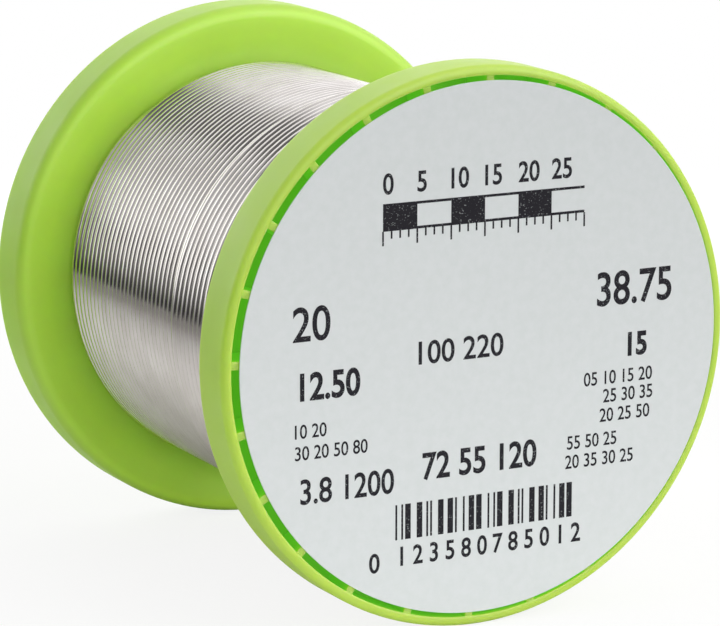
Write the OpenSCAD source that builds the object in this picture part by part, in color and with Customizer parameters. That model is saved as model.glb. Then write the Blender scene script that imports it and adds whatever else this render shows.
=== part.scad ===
// Solder wire spool: two moulded flanges pressed into a barrel tube, a round paper label and one wound wire.
// Millimetres. The spool lies on its two rims: +Z is up and the spool's axis runs along Y, one flange radius
// above the floor. The label faces -Y. The origin is on the floor, under the middle of the spool.
// Inside the modules the spool stands on end: local +Z is the label side, and on_axis() lays it down.

/* [Spool] */
// Diameter of both flanges
flange_d = 60; // [56:1:80]
// Width over both flanges
spool_w = 59.8; // [45:0.1:90]
// Diameter of the bore for a spindle
bore_d = 11; // [8:0.5:14]
// Outer diameter of the barrel tube that the wire is wound on
barrel_d = 33; // [26:0.5:36]
// Wall of the barrel tube
barrel_wall = 1.5; // [1:0.1:2.5]

/* [Flange] */
// Width of a flange's rim along the axis
rim_w = 6.6; // [5.5:0.1:9]
// Wall of the rim
rim_wall = 1.05; // [0.9:0.05:2]
// Rounding of the rim's outward edge
rim_outer_round = 0.75; // [0.3:0.05:0.8]
// Rounding of the rim's edge towards the wire
rim_inner_round = 1.5; // [0.5:0.1:2]
// Thickness of the flange's disc
disc_t = 1.6; // [1.2:0.1:2.4]
// Depth of the disc's inner face behind the rim's edge
face_drop = 0.5; // [0:0.1:1]
// Width of the slope from the rim's edge down to that face, as far as the wire leaves room for it
face_slope = 4; // [1:0.5:5]
// Number of radial ribs on a flange
rib_count = 24; // [12:1:30]
// Thickness of a radial rib
rib_t = 0.9; // [0.6:0.1:1.4]
// Angle of the first rib from +X, towards +Z
rib_phase = -2.2; // [-7.5:0.1:7.5]
// Wall of the collar that the barrel tube is pressed on
collar_wall = 1.4; // [1:0.1:2]
// Depth that the collar reaches into the barrel tube
collar_reach = 6; // [3:0.5:10]
// Wall of the hub around the bore
hub_wall = 2; // [1.2:0.1:3]
// Depth that the hub reaches inside the flange's disc
hub_reach = 8; // [2:0.5:15]
// Depth of the centre panel below the ribs' outward faces
panel_drop = 1; // [0.5:0.1:2]
// Number of shallow ribs on the centre panel
panel_rib_count = 8; // [4:1:12]

/* [Label] */
// Gap between the label's edge and the rim, on the side where they come closest
label_edge_gap = 0.05; // [0.05:0.05:2]
// Thickness of the label
label_t = 0.15; // [0.1:0.01:0.3]
// Distance of the label's centre from the axis, along +X
label_shift = 0.44; // [0:0.01:0.6]
// Distance of the label's centre below the axis
label_drop = 0.08; // [0:0.01:0.3]
// Depth of the ribs' outward faces below the rim's edge
label_recess = 0.2; // [0.1:0.05:0.5]

/* [Wire] */
// Diameter of the wire
wire_d = 1; // [0.6:0.05:1.2]
// Number of complete layers
full_layers = 8; // [2:1:9]
// Width of the part layer on top, from the front flange
top_layer_w = 18.9; // [10:0.1:24]
// Spacing of the drawn turns, in wire diameters: the real turns lie side by side
drawn_spacing = 1.85; // [1.6:0.05:3]
// Angle that the wire's outer end takes to cross to the rear flange
crossing_angle = 80; // [50:5:120]
// Which pocket between the ribs holds the outer end, counted from the first rib
tail_pocket = 1; // [0:1:5]
// Which pocket between the ribs holds the inner end
start_pocket = 9; // [6:1:11]
// Length of each end that lies bent over in its pocket
end_run = 5; // [3:0.5:6]

/* [Clearances] */
// Radial gap between the collar and the barrel tube
press_gap = 0.03; // [0.01:0.01:0.1]
// Gap between the wire and what it lies on
lay_gap = 0.03; // [0.01:0.01:0.1]
// Play of the wire's ends in their holes
end_hole_play = 0.8; // [0.8:0.1:1]

/* [Hidden] */

flange_r = flange_d / 2;
bore_r = bore_d / 2;
barrel_r = barrel_d / 2;
rim_inner_r = flange_r - rim_wall;
half_w = spool_w / 2;
rim_z = half_w - rim_w;                         // the edge of a flange's rim
face_z = rim_z + face_drop;                     // the inner face of its disc, where the wire ends
rib_top = rim_w - label_recess;                 // the ribs' outward faces, from the rim's edge
collar_r = barrel_r - barrel_wall - press_gap;
hub_r = bore_r + hub_wall;
label_d = 2 * (rim_inner_r - norm([label_shift, label_drop]) - label_edge_gap);
rib_step = 360 / rib_count;

layer_rise = 0.87 * wire_d;                     // a turn lies in the groove between two turns below
outer_layer_r = barrel_r + wire_d / 2 + (full_layers - 1) * layer_rise;
top_layer_r = outer_layer_r + layer_rise;
winding_r = top_layer_r + wire_d / 2;           // over the wire
step_z = face_z - top_layer_w;                  // where the part layer on top ends
crossing_r = outer_layer_r + wire_d + lay_gap;  // the outer end lies across the last complete layer
end_bend_r = wire_d;
end_hole_d = wire_d + end_hole_play;
end_floor_z = -face_z - disc_t - wire_d / 2 - lay_gap;   // the bent ends lie on the pocket's floor
tail_r = crossing_r + 0.3 * wire_d;
start_r = barrel_r + end_hole_d / 2 + 0.1;
tail_angle = rib_phase + rib_step * (tail_pocket + 0.5);
start_angle = rib_phase + rib_step * (start_pocket + 0.5);

rings_per_loop = 24;
chord_sag = 1 - cos(180 / rings_per_loop);      // how far a drawn turn's chords dip, as a share of its radius
wire_sides = 6;
bend_rings = 4;
crossing_rings = 14;
fine = 128;
facet_turn = 1.5;                               // turns a flange, so that it stands on a facet and not on a corner

green = [0.58, 0.79, 0.26];
dark_green = [0.45, 0.68, 0.18];
paper = [0.85, 0.86, 0.85];
tin = [0.74, 0.73, 0.70];

// Lays the spool down: local Z to -Y, local Y to +Z, axis at the height of the flange radius.
module on_axis() {
    translate([0, 0, flange_r]) rotate([90, 0, 0]) children();
}

// Outline of a flange's rounded edge: radius along X, distance from the rim's edge along Y.
module flange_outline() {
    square([flange_r - rim_inner_round, rim_inner_round]);
    translate([flange_r - rim_inner_round, rim_inner_round]) circle(r = rim_inner_round, $fn = fine);
    translate([0, rim_inner_round]) square([flange_r, rim_w - rim_inner_round - rim_outer_round]);
    translate([0, rim_w - rim_outer_round]) square([flange_r - rim_outer_round, rim_outer_round]);
    translate([flange_r - rim_outer_round, rim_w - rim_outer_round]) circle(r = rim_outer_round, $fn = fine);
}

// Everything of a flange that is round: disc, rim, collar, centre panel and hub.
module flange_round_parts() {
    slope_r = flange_r - rim_inner_round;
    slope_foot_r = max(slope_r - face_slope, winding_r + lay_gap);   // narrower where the wire needs the room
    rotate([0, 0, facet_turn]) rotate_extrude($fn = fine) {
        intersection() {
            flange_outline();
            union() {
                polygon([[collar_r - collar_wall, face_drop], [slope_foot_r, face_drop], [slope_r, 0],
                         [flange_r, 0], [flange_r, face_drop + disc_t],
                         [collar_r - collar_wall, face_drop + disc_t]]);
                translate([rim_inner_r, 0]) square([rim_wall, rim_w]);
            }
        }
        translate([collar_r - collar_wall, -collar_reach]) square([collar_wall, collar_reach + rib_top]);
        translate([bore_r, rib_top - panel_drop - disc_t]) square([collar_r - bore_r, disc_t]);
        translate([bore_r, -hub_reach]) square([hub_wall, hub_reach + rib_top]);
    }
}

// Radial ribs with their outward faces level, from radius r0 to r1, standing on height z0.
module radial_ribs(count, phase, thick, r0, r1, z0) {
    bury = 0.3;  // how far a rib runs into the walls that it joins
    for (k = [0 : count - 1])
        rotate([0, 0, phase + k * 360 / count])
            translate([r0 - bury, -thick / 2, z0 - bury]) cube([r1 - r0 + 2 * bury, thick, rib_top - z0 + bury]);
}

// A flange with its rim's edge at z = 0 and its ribs towards +Z.
module flange() {
    flange_round_parts();
    radial_ribs(rib_count, rib_phase, rib_t, collar_r, rim_inner_r, face_drop + disc_t);
    radial_ribs(panel_rib_count, rib_phase, rib_t, hub_r, collar_r - collar_wall, rib_top - panel_drop);
}

module front_flange() {
    color(green) on_axis() translate([0, 0, rim_z]) flange();
}

module rear_flange() {
    color(dark_green) on_axis() difference() {
        mirror([0, 0, 1]) translate([0, 0, rim_z]) flange();
        for (hole = [[tail_angle, tail_r], [start_angle, start_r]])
            rotate([0, 0, hole[0]]) translate([hole[1], 0, -face_z - disc_t - 1])
                cylinder(d = end_hole_d, h = disc_t + 2, $fn = 32);
    }
}

module barrel_tube() {
    color("gainsboro") on_axis() difference() {
        cylinder(r = barrel_r, h = 2 * face_z, center = true, $fn = fine);
        cylinder(r = barrel_r - barrel_wall, h = 2 * face_z + 2, center = true, $fn = fine);
    }
}

module front_label() {
    color(paper) on_axis() translate([label_shift, -label_drop, rim_z + rib_top])
        cylinder(d = label_d, h = label_t, $fn = fine);
}

// The layers under the ones that show, as one plain ring with the step where the part layer ends.
module wire_inner_layers() {
    inner_r = barrel_r + lay_gap;
    function under(layer_r) = layer_r * (1 - chord_sag) - wire_d / 2 - lay_gap;
    color(tin) on_axis() rotate_extrude($fn = fine) {
        translate([inner_r, -face_z]) square([under(outer_layer_r) - inner_r, 2 * face_z]);
        translate([inner_r, step_z]) square([under(top_layer_r) - inner_r, top_layer_w]);
    }
}

// Paths: each station is [point, radial direction there].
function unit(v) = v / norm(v);
function radial(a) = [cos(a), sin(a), 0];
function around(a) = [-sin(a), cos(a), 0];
function on_drum(a, r, z) = [r * radial(a) + [0, 0, z], radial(a)];

// Turns from angle a0 at height z0 to height z1, with one tube diameter run straight before the first.
function turns(a0, r, z0, z1, loops) = concat(
    [[on_drum(a0, r, z0)[0] - wire_d * around(a0), radial(a0)]],
    [for (k = [0 : loops * rings_per_loop])
        let (s = k / (loops * rings_per_loop)) on_drum(a0 + 360 * loops * s, r, z0 + (z1 - z0) * s)]);

// One tube diameter run straight after the station of angle a.
function straight_out(a, r, z) = [[on_drum(a, r, z)[0] + wire_d * around(a), radial(a)]];

// An end that runs along -Z through the rear disc at angle a and radius r, and is bent over on the pocket's
// floor: towards the rim if way is 1, towards the hub if way is -1.
function bent_end(a, r, z_from, way) = concat(
    [[r * radial(a) + [0, 0, z_from], radial(a)]],
    [for (k = [0 : bend_rings]) let (t = 90 * k / bend_rings)
        [(r + way * end_bend_r * (1 - cos(t))) * radial(a)
            + [0, 0, end_floor_z + end_bend_r * (1 - sin(t))], cos(t) * radial(a) + [0, 0, way * sin(t)]]],
    [[(r + way * (end_bend_r + end_run)) * radial(a) + [0, 0, end_floor_z], [0, 0, way]]]);

// A tube of wire_sides sides along the stations, with triangle faces.
module wire_tube(stations) {
    n = len(stations);
    tangents = [for (i = [0 : n - 1])
        unit(stations[min(i + 1, n - 1)][0] - stations[max(i - 1, 0)][0])];
    points = [for (i = [0 : n - 1])
        let (side = unit(cross(tangents[i], stations[i][1])), up = cross(side, tangents[i]))
        for (k = [0 : wire_sides - 1])
            let (t = 360 * k / wire_sides) stations[i][0] + wire_d / 2 * (cos(t) * up + sin(t) * side)];
    walls = [for (i = [0 : n - 2]) for (k = [0 : wire_sides - 1])
        let (a = i * wire_sides + k, b = i * wire_sides + (k + 1) % wire_sides)
        for (f = [[a, b, a + wire_sides], [b, b + wire_sides, a + wire_sides]]) f];
    caps = [for (k = [1 : wire_sides - 2])
        for (f = [[0, k + 1, k], [(n - 1) * wire_sides, (n - 1) * wire_sides + k, (n - 1) * wire_sides + k + 1]]) f];
    polyhedron(points = points, faces = concat(walls, caps), convexity = 10);
}

// Least gap between stretches of one tube that are half a loop or more apart along it.
function least_gap(stations) = min([for (i = [0 : len(stations) - 1])
    for (j = [i + rings_per_loop / 2 : len(stations) - 1]) norm(stations[i][0] - stations[j][0])]) - wire_d;

// Whole loops that fit between two heights at the drawn spacing.
function loops_between(z0, z1) = floor(abs(z1 - z0) / (drawn_spacing * wire_d) + 0.05);

// The last complete layer, where nothing covers it.
module wire_outer_layer() {
    first_z = -face_z + wire_d / 2 + lay_gap;
    last_z = step_z - wire_d / 2 - lay_gap;
    loops = loops_between(first_z, last_z);
    stations = concat(turns(start_angle, outer_layer_r, first_z, last_z, loops),
                      straight_out(start_angle + 360 * loops, outer_layer_r, last_z));
    echo(outer_layer_least_gap = least_gap(stations));
    color(tin) on_axis() wire_tube(stations);
}

// The part layer on top, and the wire's outer end: across the layer below, through the rear disc and bent over.
module wire_top_layer() {
    first_z = face_z - wire_d / 2 - lay_gap;
    last_z = step_z + wire_d / 2;
    loops = loops_between(first_z, last_z);
    leave_angle = tail_angle - crossing_angle;
    hole_z = -face_z + wire_d / 2;
    crossing = [for (k = [1 : crossing_rings]) let (t = 90 * k / crossing_rings, s = k / crossing_rings)
        on_drum(leave_angle + crossing_angle * sin(t), crossing_r + (tail_r - crossing_r) * s * s,
                last_z + (hole_z - last_z) * (1 - cos(t)))];
    stations = concat(turns(leave_angle - 360 * loops, top_layer_r, first_z, last_z, loops), crossing,
                      bent_end(tail_angle, tail_r, -face_z - disc_t / 4, -1));
    echo(top_layer_least_gap = least_gap(stations));
    color(tin) on_axis() wire_tube(stations);
}

// The wire's inner end: from the first layer through the rear disc and bent over.
module wire_start() {
    color(tin) on_axis() wire_tube(bent_end(start_angle, start_r, -face_z, 1));
}

front_flange();
rear_flange();
barrel_tube();
front_label();
wire_inner_layers();
wire_outer_layer();
wire_top_layer();
wire_start();
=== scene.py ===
import math

import bmesh
import bpy
import numpy as np
from mathutils import Matrix, Vector, noise


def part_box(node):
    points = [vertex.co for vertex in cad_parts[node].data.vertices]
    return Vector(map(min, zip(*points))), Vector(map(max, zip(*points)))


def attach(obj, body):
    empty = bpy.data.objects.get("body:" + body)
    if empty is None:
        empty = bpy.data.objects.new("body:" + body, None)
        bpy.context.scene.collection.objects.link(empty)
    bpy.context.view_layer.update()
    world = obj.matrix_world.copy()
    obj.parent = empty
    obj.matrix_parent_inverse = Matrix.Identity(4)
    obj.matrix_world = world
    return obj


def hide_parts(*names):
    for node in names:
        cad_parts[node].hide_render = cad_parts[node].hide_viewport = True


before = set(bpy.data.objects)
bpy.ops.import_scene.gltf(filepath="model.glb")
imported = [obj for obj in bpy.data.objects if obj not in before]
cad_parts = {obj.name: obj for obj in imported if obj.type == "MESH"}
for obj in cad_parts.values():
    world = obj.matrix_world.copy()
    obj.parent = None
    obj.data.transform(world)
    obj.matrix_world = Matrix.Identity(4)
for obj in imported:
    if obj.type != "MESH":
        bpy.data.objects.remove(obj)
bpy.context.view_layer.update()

# Looks of a solder wire spool: two moulded green flanges, a paper label and one wound wire.
# Sizes are millimetres, as in the part's source, and on_axis() turns them into the scene's metres.
# Local +Z is the label side of the spool, and angles run from +X towards +Z of the scene.

MM = 0.001


def node_box(name):
    """Lowest and highest corner of a CAD node, in millimetres."""
    low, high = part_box(name)
    return low / MM, high / MM


# ---- sizes taken from the frame
flange_low, flange_high = node_box("front_flange")
label_low, label_high = node_box("front_label")
barrel_low, barrel_high = node_box("barrel_tube")
FLANGE_R = (flange_high.x - flange_low.x) / 2
HALF_W = -flange_low.y
FACE_Z = barrel_high.y
BARREL_R = (barrel_high.x - barrel_low.x) / 2
LABEL_R = (label_high.x - label_low.x) / 2
LABEL_X = (label_high.x + label_low.x) / 2
LABEL_Y = (label_high.z + label_low.z) / 2 - FLANGE_R
LABEL_T = label_high.y - label_low.y

# ---- sizes that the part's source names
RIM_W = 6.6
RIM_WALL = 1.05
RIM_OUTER_ROUND = 0.75
RIM_INNER_ROUND = 1.5
DISC_T = 1.6
FACE_SLOPE = 4
RIB_COUNT = 24
RIB_T = 0.9
RIB_PHASE = -2.2
COLLAR_WALL = 1.4
COLLAR_REACH = 6
BORE_R = 5.5
HUB_WALL = 2
HUB_REACH = 8
PANEL_DROP = 1
PANEL_RIB_COUNT = 8
PRESS_GAP = 0.03
BARREL_WALL = 1.5
WIRE_D = 1.0
WIRE_R = WIRE_D / 2
LAYER_RISE = 0.87 * WIRE_D
LAY_GAP = 0.03
FULL_LAYERS = 8
TOP_LAYER_W = 18.9
CROSSING_ANGLE = 80
TAIL_POCKET = 1
START_POCKET = 9
END_RUN = 5
END_HOLE_D = WIRE_D + 0.8

RIM_Z = HALF_W - RIM_W
FACE_DROP = FACE_Z - RIM_Z
RIB_TOP = -label_high.y - RIM_Z
RIM_INNER_R = FLANGE_R - RIM_WALL
COLLAR_R = BARREL_R - BARREL_WALL - PRESS_GAP
HUB_R = BORE_R + HUB_WALL
RIB_STEP = 360 / RIB_COUNT
OUTER_LAYER_R = BARREL_R + WIRE_R + (FULL_LAYERS - 1) * LAYER_RISE
TOP_LAYER_R = OUTER_LAYER_R + LAYER_RISE
STEP_Z = FACE_Z - TOP_LAYER_W
CROSSING_R = OUTER_LAYER_R + WIRE_D + LAY_GAP
END_BEND_R = WIRE_D
END_FLOOR_Z = -FACE_Z - DISC_T - WIRE_R - LAY_GAP
TAIL_R = CROSSING_R + 0.3 * WIRE_D
START_R = BARREL_R + END_HOLE_D / 2 + 0.1
TAIL_ANGLE = RIB_PHASE + RIB_STEP * (TAIL_POCKET + 0.5)
START_ANGLE = RIB_PHASE + RIB_STEP * (START_POCKET + 0.5)


def on_axis(x, y, z):
    """A point of the standing spool, in millimetres, laid down into the scene, in metres."""
    return (x * MM, -z * MM, (y + FLANGE_R) * MM)


def cos_deg(a):
    return math.cos(math.radians(a))


def sin_deg(a):
    return math.sin(math.radians(a))


# ---------------------------------------------------------------- camera

VIEW_AZIMUTH = -27.478
VIEW_ELEVATION = 11.989
VIEW_DISTANCE = 0.44004
VIEW_SIDE = 0.001158
VIEW_DOWN = 0.001707
LENS = 197.63


def make_camera():
    az, el = math.radians(VIEW_AZIMUTH), math.radians(VIEW_ELEVATION)
    back = Vector((math.sin(az) * math.cos(el), -math.cos(az) * math.cos(el), math.sin(el)))
    right = Vector((math.cos(az), math.sin(az), 0))
    up = back.cross(right)
    data = bpy.data.cameras.new("camera")
    data.sensor_fit = "HORIZONTAL"
    data.sensor_width = 36
    data.lens = LENS
    data.clip_start = 0.01
    data.clip_end = 20
    camera = bpy.data.objects.new("camera", data)
    centre = Vector((0, 0, FLANGE_R * MM))
    turn = Matrix((right, up, back)).transposed().to_4x4()
    camera.matrix_world = Matrix.Translation(
        centre + back * VIEW_DISTANCE + right * VIEW_SIDE - up * VIEW_DOWN
    ) @ turn
    bpy.context.collection.objects.link(camera)
    bpy.context.scene.camera = camera


# ---------------------------------------------------------------- nodes and materials


def srgb(r, g, b):
    """A colour given as 0-255 screen values, for a shader socket."""
    def linear(v):
        v /= 255
        return v / 12.92 if v <= 0.04045 else ((v + 0.055) / 1.055) ** 2.4
    return (linear(r), linear(g), linear(b), 1)


class Nodes:
    """A short way to write a node tree."""

    def __init__(self, name):
        self.material = bpy.data.materials.new(name)
        self.material.use_nodes = True
        self.tree = self.material.node_tree
        self.tree.nodes.clear()
        self.output = self.tree.nodes.new("ShaderNodeOutputMaterial")

    def add(self, kind, inputs=(), **settings):
        node = self.tree.nodes.new("ShaderNode" + kind)
        for key, value in settings.items():
            setattr(node, key, value)
        for key, value in dict(inputs).items():
            if isinstance(value, bpy.types.NodeSocket):
                self.tree.links.new(value, node.inputs[key])
            else:
                node.inputs[key].default_value = value
        return node

    def coords(self, kind, scale):
        source = self.add("TexCoord").outputs[kind]
        return self.add("Mapping", {"Vector": source, "Scale": scale}).outputs["Vector"]

    def object_coords(self):
        return self.coords("Object", (1, 1, 1))

    def noise(self, vector, scale, detail=2.0, roughness=0.5):
        inputs = {"Vector": vector, "Scale": scale, "Detail": detail, "Roughness": roughness}
        return self.add("TexNoise", inputs).outputs["Fac"]

    def remap(self, value, low, high, to_low, to_high):
        inputs = {"Value": value, "From Min": low, "From Max": high, "To Min": to_low, "To Max": to_high}
        return self.add("MapRange", inputs).outputs["Result"]

    def mix(self, factor, a, b, blend="MIX"):
        node = self.add("Mix", {0: factor}, data_type="RGBA", blend_type=blend)
        for index, value in ((6, a), (7, b)):
            if isinstance(value, bpy.types.NodeSocket):
                self.tree.links.new(value, node.inputs[index])
            else:
                node.inputs[index].default_value = value
        return node.outputs[2]

    def math(self, operation, a, b):
        return self.add("Math", {0: a, 1: b}, operation=operation).outputs[0]

    def bump(self, height, distance, strength=1.0, under=None):
        inputs = {"Height": height, "Distance": distance, "Strength": strength}
        if under is not None:
            inputs["Normal"] = under
        return self.add("Bump", inputs).outputs["Normal"]

    def principled(self, **inputs):
        words = {key.replace("_", " "): value for key, value in inputs.items()}
        shader = self.add("BsdfPrincipled", words)
        self.tree.links.new(shader.outputs[0], self.output.inputs[0])
        return self.material


GREEN, DEEP_GREEN = srgb(180, 220, 66), srgb(175, 216, 60)
# The front flange's greens are a paler copy of the rear flange's green: painted light on the same plastic.
FRONT_PAINTED_PALE_GREEN, FRONT_PAINTED_PALE_DEEP_GREEN = srgb(188, 222, 76), srgb(184, 218, 70)
# Pocket greens are a darker, more saturated copy of the flange's green, and their glow is painted light
# standing in for light through the plastic.
POCKET_PAINTED_GREEN, POCKET_PAINTED_DEEP_GREEN = srgb(150, 206, 44), srgb(144, 200, 40)
PAINTED_GLOW_GREEN = srgb(96, 176, 44)
PAINTED_POCKET_GLOW = 0.38
# strength of the painted glow on the rear disc's inner face
PAINTED_DISC_GLOW = 0.2
BARREL_WHITE, BARREL_GREY = srgb(226, 226, 222), srgb(219, 219, 214)
BARREL_ROUGHNESS = 0.4
SATIN = 0.48                # roughness of the flanges

CLOUD_SCALE = 90            # noise scales, in features per metre: colour clouds,
RIPPLE_SCALE = 260          # soft ripples in the skin
GRAIN_SCALE = 3600          # and the mould's fine grain
RIPPLE_DEPTH = 0.00003      # in metres
GRAIN_DEPTH = 0.000008


def painted_disc_glow(n, amount):
    """Painted glow on the rear disc's inner face, standing in for light through the disc: none on the
    rim's outside, and less beside the winding, where it paints shade.
    """
    place = n.add("SeparateXYZ", {0: n.object_coords()}).outputs
    height = n.math("SUBTRACT", place["Z"], FLANGE_R * MM)
    r = n.math("SQRT", n.math("ADD", n.math("POWER", place["X"], 2), n.math("POWER", height, 2)), 0)
    edge = n.remap(r, (FLANGE_R - 0.8) * MM, (FLANGE_R - 0.05) * MM, 1, 0)
    # painted shade: the glow drops to 0.3 beside the winding
    wound = n.remap(r, 24 * MM, 26.5 * MM, 0.3, 1)
    inside = n.remap(place["Y"], (FACE_Z + 0.2) * MM, (FACE_Z + 1) * MM, amount, 0)
    return n.math("MULTIPLY", inside, n.math("MULTIPLY", edge, wound))


def plastic_material(name, colour, deep, rough=SATIN, glow=0.0, through_face=0.0):
    """Moulded satin plastic: faint colour clouds, soft ripples and a very fine grain. The glow is painted
    light:
    an emission standing in for light that comes through it, into a closed pocket, or through_face, the
    inner face of the rear disc."""
    n = Nodes(name)
    clouds = n.noise(n.object_coords(), CLOUD_SCALE, 3)
    grain = n.noise(n.object_coords(), GRAIN_SCALE, 2)
    soft = n.noise(n.object_coords(), RIPPLE_SCALE, 2)
    tint = n.mix(n.remap(clouds, 0.35, 0.65, 0, 1), colour, deep)
    normal = n.bump(grain, GRAIN_DEPTH, 0.3, n.bump(soft, RIPPLE_DEPTH, 0.25))
    # painted light: an emission whose strength stands in for light coming through the plastic
    if through_face:
        strength = painted_disc_glow(n, through_face)
    else:
        strength = n.remap(clouds, 0.3, 0.7, 0.85 * glow, 1.15 * glow)
    return n.principled(
        Base_Color=tint,
        Roughness=n.remap(soft, 0.3, 0.7, rough - 0.04, rough + 0.06),
        Subsurface_Weight=1.0,
        Subsurface_Radius=(0.9, 1.0, 0.45),
        Subsurface_Scale=0.0026,
        Specular_IOR_Level=1.0,
        Emission_Color=deep if through_face else PAINTED_GLOW_GREEN,
        Emission_Strength=strength,
        Normal=normal,
    )


TIN, WARM_TIN, DULL_TIN = srgb(236, 231, 229), srgb(225, 219, 216), srgb(190, 184, 180)
STREAK_STRETCH = (0.1, 9, 1)     # drawing marks are long along the wire (U) and narrow round it (V)
SCRATCH_STRETCH = (0.6, 26, 1)
PATCH_SCALE = 260


def wire_material():
    """Drawn tin wire: fine marks along its length, dull patches and a faint warm tint."""
    n = Nodes("solder_wire")
    streaks = n.noise(n.coords("UV", STREAK_STRETCH), 1.5, 3, 0.6)
    fine = n.noise(n.coords("UV", SCRATCH_STRETCH), 1.0, 2)
    patches = n.noise(n.object_coords(), PATCH_SCALE, 3)
    tint = n.mix(n.remap(patches, 0.35, 0.7, 0, 1), TIN, WARM_TIN)
    tint = n.mix(n.remap(streaks, 0.45, 0.8, 0, 0.35), tint, DULL_TIN)
    rough = n.math("ADD", n.remap(streaks, 0.3, 0.7, 0.07, 0.12), n.remap(patches, 0.4, 0.7, 0, 0.04))
    normal = n.bump(fine, 0.000006, 0.4, n.bump(streaks, 0.00001, 0.5))
    return n.principled(Base_Color=tint, Metallic=1.0, Roughness=rough, Normal=normal)


PAPER_WHITE, PAPER_GREY = srgb(225, 229, 230), srgb(221, 226, 226)
INK_BLACK, PINHOLE_GREY = srgb(27, 25, 33), srgb(205, 210, 210)
MOTTLE_SCALE = 900
FIBRE_SCALE = 5200
PINHOLE_SCALE = 5200


def paper_material():
    """Coated label paper: a cool white with faint mottling and fibres."""
    n = Nodes("label_paper")
    mottle = n.noise(n.object_coords(), MOTTLE_SCALE, 4, 0.6)
    fibres = n.noise(n.object_coords(), FIBRE_SCALE, 2)
    tint = n.mix(n.remap(mottle, 0.35, 0.65, 0, 1), PAPER_WHITE, PAPER_GREY)
    normal = n.bump(fibres, 0.00001, 0.3, n.bump(mottle, 0.00001, 0.3))
    return n.principled(
        Base_Color=tint, Roughness=n.remap(mottle, 0.3, 0.7, 0.52, 0.62), Normal=normal
    )


def ink_material():
    """Thermal print: near-black with small pale pinholes."""
    n = Nodes("label_ink")
    pinholes = n.noise(n.object_coords(), PINHOLE_SCALE, 2)
    tint = n.mix(n.remap(pinholes, 0.62, 0.7, 0, 0.4), INK_BLACK, PINHOLE_GREY)
    return n.principled(
        Base_Color=tint, Roughness=n.remap(pinholes, 0.3, 0.7, 0.5, 0.65), Specular_IOR_Level=0.25
    )


# ---------------------------------------------------------------- meshes


def make_object(name, mesh, material, slot, *replaced):
    obj = bpy.data.objects.new(name, mesh)
    bpy.context.collection.objects.link(obj)
    mesh.materials.append(material)
    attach(obj, "root")
    if replaced:
        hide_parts(*replaced)
    return obj


def smooth(mesh):
    mesh.polygons.foreach_set("use_smooth", [True] * len(mesh.polygons))


# ---- flange

POCKET_STEPS = 6     # faces across a pocket between two ribs
ARC_STEPS = 8        # faces across a rounded edge of the rim
SLOPE_STEPS = 6      # faces across the slope from the rim down to the disc's inner face
MID_FACE_RINGS = (22, 18.5)     # rings of points on the disc's inner face, which the wire hides
EDGE_ROUND = 0.12    # rounding of the moulding's small edges and corners
SHARP = 40           # edges with a greater angle than this are rounded


def arc(centre_r, centre_h, radius, a0, a1):
    """Points [r, h] of a rounded edge's profile, between two angles in degrees."""
    turns = [a0 + (a1 - a0) * k / ARC_STEPS for k in range(ARC_STEPS + 1)]
    return [(centre_r + radius * cos_deg(a), centre_h + radius * sin_deg(a)) for a in turns]


class Moulding:
    """A flange's surface, made of strips between rings. Each ring has the same columns: three on each
    rib and the rest across the pocket after it. h is the height over the rim's edge towards the wire."""

    def __init__(self):
        self.bm = bmesh.new()
        self.made = {}
        self.per_rib = 2 + POCKET_STEPS
        self.columns = RIB_COUNT * self.per_rib

    def angle(self, r, column):
        rib, place = divmod(column, self.per_rib)
        half = math.degrees(math.asin(RIB_T / 2 / r))
        start = RIB_PHASE + rib * RIB_STEP
        if place < 2:
            return start + (place - 1) * half
        return start + half + (place - 2) / POCKET_STEPS * (RIB_STEP - 2 * half)

    def vertex(self, r, h, column):
        column %= self.columns
        key = (round(r, 4), round(h, 4), column)
        if key not in self.made:
            a = self.angle(r, column)
            self.made[key] = self.bm.verts.new((r * cos_deg(a), r * sin_deg(a), h))
        return self.made[key]

    def strip(self, start, end, wanted):
        for c in range(self.columns):
            if wanted(c):
                self.bm.faces.new((
                    self.vertex(*start, c), self.vertex(*start, c + 1),
                    self.vertex(*end, c + 1), self.vertex(*end, c),
                ))

    def rib_sides(self, r0, r1, h0, h1, wanted):
        for c in range(self.columns):
            if c % self.per_rib in (0, 2) and wanted(c):
                self.bm.faces.new([
                    self.vertex(r, h, c) for r, h in ((r0, h0), (r0, h1), (r1, h1), (r1, h0))
                ])


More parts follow.
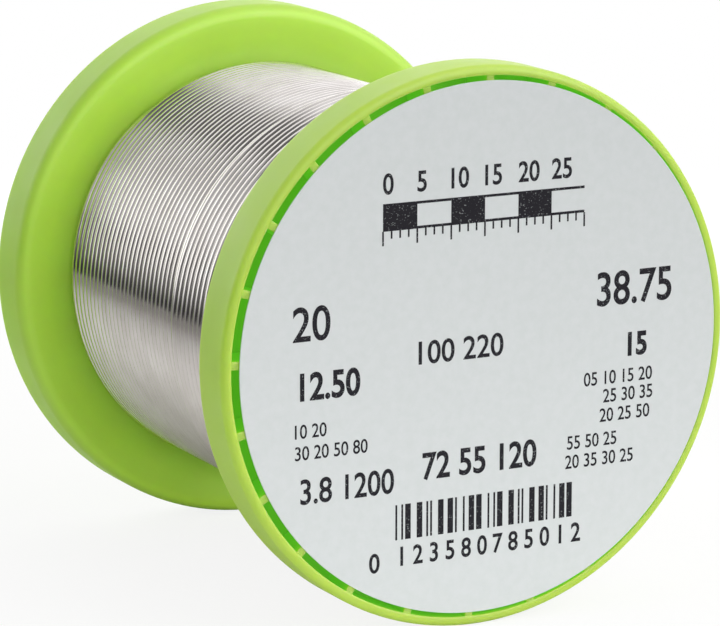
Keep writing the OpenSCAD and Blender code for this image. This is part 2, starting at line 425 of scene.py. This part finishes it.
def flange_mesh():
    """One flange, with its rim's edge at h = 0 and its ribs towards +h."""
    m = Moulding()

    def everywhere(c):
        return True

    def on_rib(c):
        return c % m.per_rib < 2

    def in_pocket(c):
        return not on_rib(c)

    def panel_rib(c):
        return c // m.per_rib % (RIB_COUNT // PANEL_RIB_COUNT) == 0

    def on_panel_rib(c):
        return on_rib(c) and panel_rib(c)

    def off_panel_rib(c):
        return not on_panel_rib(c)

    slope_r = FLANGE_R - RIM_INNER_ROUND
    floor_h = FACE_DROP + DISC_T
    panel_h = RIB_TOP - PANEL_DROP
    collar_in = COLLAR_R - COLLAR_WALL
    profile = [(RIM_INNER_R, RIB_TOP), (RIM_INNER_R, RIM_W)]
    profile += arc(FLANGE_R - RIM_OUTER_ROUND, RIM_W - RIM_OUTER_ROUND, RIM_OUTER_ROUND, 90, 0)
    profile += arc(slope_r, RIM_INNER_ROUND, RIM_INNER_ROUND, 0, -90)
    for k in range(1, SLOPE_STEPS + 1):
        t = k / SLOPE_STEPS
        profile.append((slope_r - FACE_SLOPE * t, FACE_DROP * t * t * (3 - 2 * t)))
    profile += [(r, FACE_DROP) for r in (*MID_FACE_RINGS, COLLAR_R)]
    profile += [(COLLAR_R, -COLLAR_REACH), (collar_in, -COLLAR_REACH), (collar_in, panel_h - DISC_T)]
    profile += [(HUB_R, panel_h - DISC_T), (HUB_R, -HUB_REACH), (BORE_R, -HUB_REACH)]
    profile += [(BORE_R, RIB_TOP), (HUB_R, RIB_TOP)]
    for start, end in zip(profile, profile[1:]):
        m.strip(start, end, everywhere)
    m.strip((HUB_R, RIB_TOP), (HUB_R, panel_h), off_panel_rib)
    m.strip((HUB_R, panel_h), (collar_in, panel_h), off_panel_rib)
    m.strip((collar_in, panel_h), (collar_in, RIB_TOP), off_panel_rib)
    m.strip((HUB_R, RIB_TOP), (collar_in, RIB_TOP), on_panel_rib)
    m.rib_sides(HUB_R, collar_in, panel_h, RIB_TOP, panel_rib)
    m.strip((collar_in, RIB_TOP), (COLLAR_R, RIB_TOP), everywhere)
    m.strip((COLLAR_R, RIB_TOP), (COLLAR_R, floor_h), in_pocket)
    m.strip((COLLAR_R, floor_h), (RIM_INNER_R, floor_h), in_pocket)
    m.strip((RIM_INNER_R, floor_h), (RIM_INNER_R, RIB_TOP), in_pocket)
    m.strip((COLLAR_R, RIB_TOP), (RIM_INNER_R, RIB_TOP), on_rib)
    m.rib_sides(COLLAR_R, RIM_INNER_R, floor_h, RIB_TOP, everywhere)

    bm = m.bm
    bmesh.ops.recalc_face_normals(bm, faces=bm.faces)
    sharp = [e for e in bm.edges if e.calc_face_angle(0) > math.radians(SHARP)]
    bmesh.ops.bevel(
        bm, geom=sharp, offset=EDGE_ROUND, segments=2, profile=0.5, affect="EDGES", clamp_overlap=True
    )
    return bm


def wire_hole(bm, angle, r):
    """Adds a drill for a hole of the wire's ends to bm."""
    place = Matrix.Translation((r * cos_deg(angle), r * sin_deg(angle), -FACE_Z - DISC_T / 2))
    bmesh.ops.create_cone(
        bm, cap_ends=True, segments=40, radius1=END_HOLE_D / 2, radius2=END_HOLE_D / 2,
        depth=DISC_T + 2, matrix=place,
    )


def lay_down(bm):
    """Turns a mesh of the standing spool into the scene's frame."""
    for v in bm.verts:
        v.co = on_axis(*v.co)


def mesh_from(bm, name):
    mesh = bpy.data.meshes.new(name)
    bm.to_mesh(mesh)
    bm.free()
    return mesh


def add_weighted_normals(obj):
    modifier = obj.modifiers.new("weighted_normals", "WEIGHTED_NORMAL")
    modifier.keep_sharp = True
    modifier.weight = 80


def front_flange(material, painted_glow_pocket_material):
    """The flange with the label. Its pockets, which the label closes, have a material of their own, with a
    darker, more saturated green and a painted glow.
    """
    bm = flange_mesh()
    pocket_floor = FACE_DROP + DISC_T
    for face in bm.faces:
        middle = face.calc_center_median()
        beside_ribs = COLLAR_R - 0.1 < math.hypot(middle.x, middle.y) < RIM_INNER_R + 0.02
        if beside_ribs and pocket_floor - 0.02 < middle.z < RIB_TOP - EDGE_ROUND:
            face.material_index = 1
    for v in bm.verts:
        v.co.z += RIM_Z
    lay_down(bm)
    mesh = mesh_from(bm, "front_flange_moulding")
    smooth(mesh)
    obj = make_object("front_flange_moulding", mesh, material, "flange_plastic", "front_flange")
    mesh.materials.append(painted_glow_pocket_material)
    add_weighted_normals(obj)


def rear_flange(material):
    """The other flange, with the two holes for the wire's ends."""
    bm = flange_mesh()
    for v in bm.verts:
        v.co.z = -RIM_Z - v.co.z
    bmesh.ops.reverse_faces(bm, faces=bm.faces)
    lay_down(bm)
    mesh = mesh_from(bm, "rear_flange_moulding")
    obj = make_object("rear_flange_moulding", mesh, material, "flange_plastic", "rear_flange")

    drills = bmesh.new()
    wire_hole(drills, TAIL_ANGLE, TAIL_R)
    wire_hole(drills, START_ANGLE, START_R)
    lay_down(drills)
    cutter = bpy.data.objects.new("drills", mesh_from(drills, "drills"))
    bpy.context.collection.objects.link(cutter)
    cut = obj.modifiers.new("holes", "BOOLEAN")
    cut.operation = "DIFFERENCE"
    cut.solver = "EXACT"
    cut.object = cutter
    done = bpy.data.meshes.new_from_object(obj.evaluated_get(bpy.context.evaluated_depsgraph_get()))
    obj.modifiers.clear()
    obj.data = done
    bpy.data.objects.remove(cutter)
    smooth(done)
    done.set_sharp_from_angle(angle=math.radians(50))
    add_weighted_normals(obj)


# ---- wire

RINGS_PER_LOOP = 108
WIRE_SIDES = 14
BEND_RINGS = 12
CROSSING_RINGS = 60
OUTER_LOOPS = 45
OUTER_START = 95      # the outer layer's first turn comes up from the layer below at this angle,
OUTER_CLIMB = 50      # is level after this much more,
OUTER_HOLD = 60       # and lies against the flange for this much
TOP_CLIMB = 180       # the wire climbs to the top layer in this angle
TOP_LOOPS = 17        # whole turns of the top layer
WANDER_ALONG = 0.02   # how far the turns stray along the axis
WANDER_OUT = 0.022    # how far a turn stands in or out
NIPPED = 0.75         # the cut ends are a little narrower than the wire


def stray(angle, z, loop):
    """How a real turn strays: along the axis with its neighbours, and in or out by itself."""
    x, y = cos_deg(angle), sin_deg(angle)
    along = WANDER_ALONG * noise.noise((1.6 * x, 1.6 * y, z / 5))
    out = WANDER_OUT * noise.noise((1.9 * x, 1.9 * y + 11, 0.9 * loop))
    return out, along


def station(angle, r, z):
    radial = np.array((cos_deg(angle), sin_deg(angle), 0.0))
    return r * radial + np.array((0, 0, z)), radial


def bent_end(angle, r, z_from, way):
    """A wire end through the rear disc, bent over on the pocket's floor: to the rim (1) or hub (-1)."""
    radial = np.array((cos_deg(angle), sin_deg(angle), 0.0))
    up = np.array((0, 0, 1.0))
    stations = [(r * radial + z_from * up, radial)]
    for k in range(BEND_RINGS + 1):
        t = 90 * k / BEND_RINGS
        reach = r + way * END_BEND_R * (1 - cos_deg(t))
        height = END_FLOOR_Z + END_BEND_R * (1 - sin_deg(t))
        stations.append((reach * radial + height * up, cos_deg(t) * radial + way * sin_deg(t) * up))
    stations.append(((r + way * (END_BEND_R + END_RUN)) * radial + END_FLOOR_Z * up, way * up))
    return stations


def soft_step(t):
    """0 up to t = 0, 1 from t = 1 on, and smooth between them."""
    t = min(1, max(0, t))
    return t * t * (3 - 2 * t)


def outer_layer():
    """The last complete layer, from the rear flange to the front one."""
    z0 = -FACE_Z + WIRE_R + LAY_GAP
    held = OUTER_HOLD / 360
    loops = OUTER_LOOPS + held
    count = round(loops * RINGS_PER_LOOP)
    stations = []
    for k in range(count + 1):
        loop = loops * k / count
        angle = OUTER_START + 360 * loop
        r = OUTER_LAYER_R - LAYER_RISE * (1 - soft_step(360 * loop / OUTER_CLIMB))
        z = z0 - 2 * z0 * max(0, loop - held) / OUTER_LOOPS
        out, along = stray(angle, z, loop)
        free = min(1, loop, loops - loop)
        stations.append(station(angle, r + out * free, z + along * free))
    return stations


def top_layer():
    """The part layer on top and the wire's outer end, from where the outer layer ends."""
    z0 = FACE_Z - WIRE_R - LAY_GAP
    last_z = STEP_Z + WIRE_R
    first = OUTER_START + OUTER_HOLD
    leave = TAIL_ANGLE - CROSSING_ANGLE
    held = TOP_CLIMB / 360
    loops = TOP_LOOPS + (leave - first) % 360 / 360
    stations = []
    count = round(loops * RINGS_PER_LOOP)
    for k in range(count + 1):
        loop = loops * k / count
        angle = first + 360 * loop
        r = OUTER_LAYER_R + LAYER_RISE * soft_step(360 * loop / TOP_CLIMB)
        z = z0 + (last_z - z0) * max(0, loop - held) / (loops - held)
        out, along = stray(angle, z, loop + 77)
        free = min(1, loop, loops - loop)
        stations.append(station(angle, r + out * free, z + along * free))
    hole_z = -FACE_Z + WIRE_R
    for k in range(1, CROSSING_RINGS + 1):
        s = k / CROSSING_RINGS
        r = CROSSING_R + (TAIL_R - CROSSING_R) * s * s
        r += (TOP_LAYER_R - CROSSING_R) * max(0, 1 - 6 * s)
        z = last_z + (hole_z - last_z) * (1 - cos_deg(90 * s))
        stations.append(station(leave + CROSSING_ANGLE * sin_deg(90 * s), r, z))
    return stations + bent_end(TAIL_ANGLE, TAIL_R, -FACE_Z - DISC_T / 4, -1)


def wire_mesh(name, stations):
    """A round tube along the stations, with its length in millimetres as U and its girth as V."""
    points = np.array([p for p, _ in stations])
    ups = np.array([u for _, u in stations])
    tangents = np.gradient(points, axis=0)
    tangents /= np.linalg.norm(tangents, axis=1)[:, None]
    sides = np.cross(tangents, ups)
    sides /= np.linalg.norm(sides, axis=1)[:, None]
    ups = np.cross(sides, tangents)
    turn = np.arange(WIRE_SIDES) * 2 * math.pi / WIRE_SIDES
    rings = points[:, None] + WIRE_R * (
        np.cos(turn)[None, :, None] * ups[:, None] + np.sin(turn)[None, :, None] * sides[:, None]
    )
    for end in (0, -1):
        rings[end] = points[end] + (rings[end] - points[end]) * NIPPED
    flat = rings.reshape(-1, 3)
    verts = [on_axis(*p) for p in flat]
    count = len(points)
    faces = []
    for i in range(count - 1):
        for k in range(WIRE_SIDES):
            a, b = i * WIRE_SIDES + k, i * WIRE_SIDES + (k + 1) % WIRE_SIDES
            faces.append((a, b, b + WIRE_SIDES, a + WIRE_SIDES))
    faces.append(tuple(range(WIRE_SIDES))[::-1])
    faces.append(tuple(range((count - 1) * WIRE_SIDES, count * WIRE_SIDES)))
    mesh = bpy.data.meshes.new(name)
    mesh.from_pydata(verts, [], faces)

    steps = np.linalg.norm(np.diff(points, axis=0), axis=1)
    length = np.concatenate(([0], np.cumsum(steps)))
    uvs = []
    for i in range(count - 1):
        for k in range(WIRE_SIDES):
            v0, v1 = k / WIRE_SIDES, (k + 1) / WIRE_SIDES
            uvs += [(length[i], v0), (length[i], v1), (length[i + 1], v1), (length[i + 1], v0)]
    uvs += [(0, 0)] * WIRE_SIDES + [(length[-1], 0)] * WIRE_SIDES
    layer = mesh.uv_layers.new(name="wire")
    layer.data.foreach_set("uv", np.array(uvs, dtype=np.float32).ravel())
    smooth(mesh)
    mesh.set_sharp_from_angle(angle=math.radians(50))
    return mesh


CORE_RINGS = 128
CREST_STEPS = 8


def inner_layers_mesh():
    """The layers under the ones that show: a ring whose outside has the crests of the turns."""
    z0 = -FACE_Z + WIRE_R + LAY_GAP
    pitch = -2 * z0 / OUTER_LOOPS
    crest = OUTER_LAYER_R - WIRE_R - LAY_GAP
    inner_r = BARREL_R + LAY_GAP
    profile = [(inner_r, -FACE_Z), (crest - WIRE_R, -FACE_Z)]
    for turn in range(OUTER_LOOPS + 1):
        for k in range(CREST_STEPS):
            t = (k + 0.5) / CREST_STEPS * 2 - 1
            z = z0 + turn * pitch + t * pitch / 2
            bulge = WIRE_R - math.sqrt(max(0, WIRE_R ** 2 - (0.92 * t * WIRE_R) ** 2))
            profile.append((crest - bulge, z))
    profile += [(crest - WIRE_R, FACE_Z), (inner_r, FACE_Z)]
    verts, faces = [], []
    for i in range(CORE_RINGS):
        a = 360 * i / CORE_RINGS
        verts += [on_axis(r * cos_deg(a), r * sin_deg(a), z) for r, z in profile]
    n = len(profile)
    for i in range(CORE_RINGS):
        j = (i + 1) % CORE_RINGS
        for k in range(n):
            m = (k + 1) % n
            faces.append((i * n + k, j * n + k, j * n + m, i * n + m))
    mesh = bpy.data.meshes.new("wire_lower_turns")
    mesh.from_pydata(verts, [], faces)
    layer = mesh.uv_layers.new(name="wire")
    girth = 2 * math.pi * crest / CORE_RINGS
    uvs = []
    for i in range(CORE_RINGS):
        for k in range(n):
            u0, u1, v0, v1 = i * girth, (i + 1) * girth, k / n, (k + 1) / n
            uvs += [(u0, v0), (u1, v0), (u1, v1), (u0, v1)]
    layer.data.foreach_set("uv", np.array(uvs, dtype=np.float32).ravel())
    smooth(mesh)
    mesh.set_sharp_from_angle(angle=math.radians(60))
    return mesh


def make_winding(material):
    make_object("wire_lower_turns", inner_layers_mesh(), material, "solder_wire", "wire_inner_layers")
    for name, stations, node in (
        ("wire_outer_turns", outer_layer(), "wire_outer_layer"),
        ("wire_top_turns", top_layer(), "wire_top_layer"),
        ("wire_inner_end", bent_end(START_ANGLE, START_R, -FACE_Z, 1), "wire_start"),
    ):
        make_object(name, wire_mesh(name, stations), material, "solder_wire", node)


# ---- label

LABEL_STEPS = 192
LABEL_FACE_Z = RIM_Z + RIB_TOP + LABEL_T
LABEL_LIP = 0.03      # the rounded edge of the paper
INK_T = 0.012
CAP_HEIGHT = 0.72     # height of a digit, as a share of the type size


def label_mesh():
    """The paper disc, with a slightly rounded edge."""
    z0, z1 = RIM_Z + RIB_TOP, LABEL_FACE_Z
    inside = LABEL_R - LABEL_LIP
    profile = [(0.0, z0), (inside, z0), (LABEL_R, z0 + LABEL_LIP), (LABEL_R, z1 - LABEL_LIP), (inside, z1)]
    profile += [(r, z1) for r in (21, 14, 7, 0.0)]
    bm = bmesh.new()
    rings = []
    turns = [360 * k / LABEL_STEPS for k in range(LABEL_STEPS)]
    for r, z in profile:
        if r == 0:
            rings.append([bm.verts.new((LABEL_X, LABEL_Y, z))] * LABEL_STEPS)
            continue
        rings.append([
            bm.verts.new((LABEL_X + r * cos_deg(a), LABEL_Y + r * sin_deg(a), z)) for a in turns
        ])
    for a, b in zip(rings, rings[1:]):
        for k in range(LABEL_STEPS):
            m = (k + 1) % LABEL_STEPS
            corners = []
            for v in (a[k], a[m], b[m], b[k]):
                if v not in corners:
                    corners.append(v)
            bm.faces.new(corners)
    bmesh.ops.recalc_face_normals(bm, faces=bm.faces)
    lay_down(bm)
    return mesh_from(bm, "label_disc")


def bar(bm, x0, x1, y0, y1):
    """A thin printed rectangle on the label."""
    size = ((x1 - x0), (y1 - y0), INK_T)
    middle = ((x0 + x1) / 2, (y0 + y1) / 2, LABEL_FACE_Z + INK_T / 2)
    bmesh.ops.create_cube(bm, size=1, matrix=Matrix.Translation(middle) @ Matrix.Diagonal((*size, 1)))


def number(bm, text, x, y, height, bold=0.0, narrow=1.0):
    """A printed number from its lower left corner. bold thickens its strokes and narrow squeezes it."""
    curve = bpy.data.curves.new("number", "FONT")
    curve.body = text
    curve.size = height / CAP_HEIGHT
    curve.offset = bold
    curve.extrude = INK_T / 2
    obj = bpy.data.objects.new("number", curve)
    bpy.context.collection.objects.link(obj)
    bpy.context.view_layer.update()
    mesh = bpy.data.meshes.new_from_object(obj.evaluated_get(bpy.context.evaluated_depsgraph_get()))
    low = min(v.co.x for v in mesh.vertices)
    place = Matrix.Translation((x, y, LABEL_FACE_Z + INK_T / 2))
    mesh.transform(place @ Matrix.Diagonal((narrow, 1, 1, 1)) @ Matrix.Translation((-low, 0, 0)))
    bm.from_mesh(mesh)
    bpy.data.objects.remove(obj)
    bpy.data.curves.remove(curve)
    bpy.data.meshes.remove(mesh)


def print_scale(bm):
    """A plain measuring scale, in the upper part of the label."""
    x0, y0, step, cells = -12, 13.6, 4.0, 6
    line, high = 0.28, 2.6               # width of the two long lines, and where the upper one starts
    bar(bm, x0, x0 + step * cells, y0, y0 + line)
    bar(bm, x0, x0 + step * cells, y0 + high, y0 + high + line)
    for k in range(cells):
        if k % 2 == 0:
            bar(bm, x0 + step * k, x0 + step * (k + 1), y0 + line, y0 + high)
        number(bm, str(5 * k), x0 + step * k, y0 + 3.9, 2.2, 0.05, 0.85)
    half_tick = 0.1
    for k in range(cells * 4 + 1):
        x = x0 + k * step / 4
        long = 1.5 if k % 4 == 0 else 0.8
        bar(bm, x - half_tick, x + half_tick, y0 - long, y0)


def print_stripes(bm):
    """A block of plain stripes with numbers under it."""
    x, y0, y1 = -10.5, -19.4, -15.6
    k = 0
    while x < 11:
        wide = 0.22 * (1 + (k * k + 3 * k) % 4)
        bar(bm, x, x + wide, y0, y1)
        x += wide + 0.24 * (1 + (k * 5 + 1) % 3)
        k += 1
    number(bm, "0", -13.6, -22.6, 2.1, 0.05, 0.9)
    number(bm, "1 2 3 5 8 0", -9.9, -22.2, 2.1, 0.05, 0.85)
    number(bm, "7 8 5 0 1 2", 1.2, -22.2, 2.1, 0.05, 0.85)


SMALL_PRINT = (1.5, 0.02, 0.85)     # height, bold and narrow
NUMBERS = (                         # text, left, foot, then height, bold and narrow
    ("20", -22.4, 3.0, 3.7, 0.05, 0.88),
    ("12.50", -21.6, -3.2, 2.9, 0.1, 0.85),
    ("10 20", -22.2, -7.2, *SMALL_PRINT),
    ("30 20 50 80", -22.2, -9.5, *SMALL_PRINT),
    ("3.8 1200", -21.6, -14.2, 2.7, 0.05, 0.85),
    ("100 220", -7.8, -0.8, 2.5, 0.04, 0.95),
    ("72 55 120", -7.3, -13.2, 2.9, 0.08, 0.85),
    ("38.75", 13.7, 3.3, 3.7, 0.07, 0.85),
    ("15", 17.6, -2.4, 2.5, 0.12, 0.85),
    ("05 10 15 20", 12.2, -5.3, *SMALL_PRINT),
    ("25 30 35", 14.6, -7.3, *SMALL_PRINT),
    ("20 25 50", 14.2, -9.4, *SMALL_PRINT),
    ("55 50 25", 10.2, -12.0, *SMALL_PRINT),
    ("20 35 30 25", 10.0, -14.1, *SMALL_PRINT),
)


def print_numbers(bm):
    """Plain numbers over the rest of the label. Digits 4, 6 and 9 fill in when they are bold."""
    for row in NUMBERS:
        number(bm, *row)


def printed(name, draw, ink):
    bm = bmesh.new()
    draw(bm)
    for v in bm.verts:
        v.co.x += LABEL_X
        v.co.y += LABEL_Y
    lay_down(bm)
    make_object(name, mesh_from(bm, name), ink, "label_paper")


def make_label(paper, ink):
    make_object("label_disc", label_mesh(), paper, "label_paper", "front_label")
    printed("label_scale", print_scale, ink)
    printed("label_stripes", print_stripes, ink)
    printed("label_numbers", print_numbers, ink)


# ---------------------------------------------------------------- floor, world and lights

FLOOR_R = 0.26
FLOOR_FADE = (0.07, 0.2)        # the camera sees it turn white between these distances, in metres,
FLOOR_WHITE = (0.80, 1.0)       # from the first of these shares to the second
FLOOR_PAINTED_FALLOFF = (0.06, 0.18)    # and between these distances the object sees it darken
# The floor's colour near and far from the spool: a painted pool of light that darkens with distance.
FLOOR_PAINTED_LIT = (0.82, 0.815, 0.80, 1)
FLOOR_PAINTED_DIM = (0.26, 0.255, 0.245, 1)
FLOOR_GLOW = 1.06

# Brightness of each part of the studio, where 1 is white.
WALL_LIGHT = (0.95, 1.45)       # high up and low down
WALL_FOOT = 0.85                # share of it at the horizon
LEFT_LIGHT = 0.45
FRONT_LIGHT = (1.05, 1.85)      # on the left and on the right
ABOVE_LIGHT = 0.88
KEY_LIGHT = 1.5
DIM_LIGHT = 0.14
HORIZON_LIGHT = 0.2             # share of all of it under the horizon

# Each part fades in between two values of the direction's x, y or z, or of the angle's cosine.
WALL_Y = (0.12, 0.42)
WALL_HIGH_Z = (0.66, 0.46)
WALL_FOOT_Z = (0.0, 0.25)
LEFT_X, LEFT_Z = (-0.34, -0.50), (0.14, 0.42)
FRONT_Y = (-0.45, -0.75)
FRONT_LOW_Z, FRONT_HIGH_Z = (-0.02, 0.12), (0.60, 0.40)
FRONT_X = (-0.35, 0.0)
ABOVE_X, ABOVE_Z = (-0.24, 0.14), (0.0, 0.35)
KEY_DIRECTION = (0.60, -0.60, 0.53)
KEY_COSINE = (0.84, 0.93)
HORIZON_Z = (-0.10, 0.06)


def make_floor():
    """A pale disc. The camera sees it turn to pure white away from the spool, which keeps its shadow. For
    the object's rays its colour darkens away from the spool: a painted falloff of light.
    """
    bm = bmesh.new()
    bmesh.ops.create_circle(bm, cap_ends=True, segments=96, radius=FLOOR_R)
    floor = bpy.data.objects.new("floor", mesh_from(bm, "floor"))
    bpy.context.collection.objects.link(floor)
    n = Nodes("floor")
    position = n.add("TexCoord").outputs["Object"]
    away = n.add("VectorMath", {0: position}, operation="LENGTH").outputs["Value"]
    camera_ray = n.add("LightPath").outputs["Is Camera Ray"]
    white = n.math("MULTIPLY", camera_ray, n.remap(away, *FLOOR_FADE, *FLOOR_WHITE))
    # painted falloff of light: the floor's colour darkens away from the spool
    painted_light_pool = n.mix(n.remap(away, *FLOOR_PAINTED_FALLOFF, 0, 1), FLOOR_PAINTED_LIT, FLOOR_PAINTED_DIM)
    paper = n.add("BsdfDiffuse", {"Color": painted_light_pool})
    glow = n.add("Emission", {"Color": (1, 1, 1, 1), "Strength": FLOOR_GLOW})
    blend = n.add("MixShader", {0: white, 1: paper.outputs[0], 2: glow.outputs[0]})
    n.tree.links.new(blend.outputs[0], n.output.inputs[0])
    floor.data.materials.append(n.material)


def make_world():
    """A soft studio: a white wall behind the spool, soft light on the left, above on the right and in
    front, a brighter key light in front on the right, and dim light between them and below."""
    world = bpy.data.worlds.new("studio")
    bpy.context.scene.world = world
    world.use_nodes = True
    tree = world.node_tree
    tree.nodes.clear()

    def add(kind, inputs=(), **settings):
        node = tree.nodes.new("ShaderNode" + kind)
        for key, value in settings.items():
            setattr(node, key, value)
        for key, value in dict(inputs).items():
            if isinstance(value, bpy.types.NodeSocket):
                tree.links.new(value, node.inputs[key])
            else:
                node.inputs[key].default_value = value
        return node

    def remap(value, low, high, to_low=0.0, to_high=1.0):
        inputs = {"Value": value, "From Min": low, "From Max": high, "To Min": to_low, "To Max": to_high}
        return add("MapRange", inputs, interpolation_type="SMOOTHSTEP").outputs["Result"]

    def join(operation, *values):
        total = values[0]
        for value in values[1:]:
            total = add("Math", {0: total, 1: value}, operation=operation).outputs[0]
        return total

    direction = add("TexCoord").outputs["Generated"]
    axes = add("SeparateXYZ", {0: direction}).outputs
    x, y, z = axes["X"], axes["Y"], axes["Z"]
    wall = join("MULTIPLY", remap(y, *WALL_Y), remap(z, *WALL_HIGH_Z, *WALL_LIGHT),
                remap(z, *WALL_FOOT_Z, WALL_FOOT, 1.0))
    left = join("MULTIPLY", remap(x, *LEFT_X), remap(z, *LEFT_Z), LEFT_LIGHT)
    front = join("MULTIPLY", remap(y, *FRONT_Y), remap(z, *FRONT_LOW_Z), remap(z, *FRONT_HIGH_Z),
                 remap(x, *FRONT_X, *FRONT_LIGHT))
    above = join("MULTIPLY", remap(x, *ABOVE_X), remap(z, *ABOVE_Z), ABOVE_LIGHT)
    towards_key = add("VectorMath", {0: direction, 1: KEY_DIRECTION}, operation="DOT_PRODUCT")
    key = join("MULTIPLY", remap(towards_key.outputs["Value"], *KEY_COSINE), KEY_LIGHT)
    level = join("ADD", join("MAXIMUM", wall, left, above, front, DIM_LIGHT), key)
    level = join("MULTIPLY", level, remap(z, *HORIZON_Z, HORIZON_LIGHT, 1.0))
    studio = add("Background", {"Color": (1, 1, 1, 1), "Strength": level})
    white = add("Background", {"Color": (1, 1, 1, 1), "Strength": 1.0})
    camera_ray = add("LightPath").outputs["Is Camera Ray"]
    mixed = add("MixShader", {0: camera_ray, 1: studio.outputs[0], 2: white.outputs[0]})
    output = add("OutputWorld")
    tree.links.new(mixed.outputs[0], output.inputs[0])


make_camera()
make_floor()
make_world()

front_flange(
    plastic_material("flange_plastic", FRONT_PAINTED_PALE_GREEN, FRONT_PAINTED_PALE_DEEP_GREEN),
    plastic_material("pocket_plastic_painted_glow", POCKET_PAINTED_GREEN, POCKET_PAINTED_DEEP_GREEN, glow=PAINTED_POCKET_GLOW),
)
rear_flange(plastic_material("rear_flange_plastic_painted_glow", GREEN, DEEP_GREEN, through_face=PAINTED_DISC_GLOW))
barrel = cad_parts["barrel_tube"].data
barrel.materials.clear()
barrel.materials.append(plastic_material("barrel_plastic", BARREL_WHITE, BARREL_GREY, BARREL_ROUGHNESS))
make_winding(wire_material())
make_label(paper_material(), ink_material())

bpy.context.scene.view_settings.view_transform = "Standard"
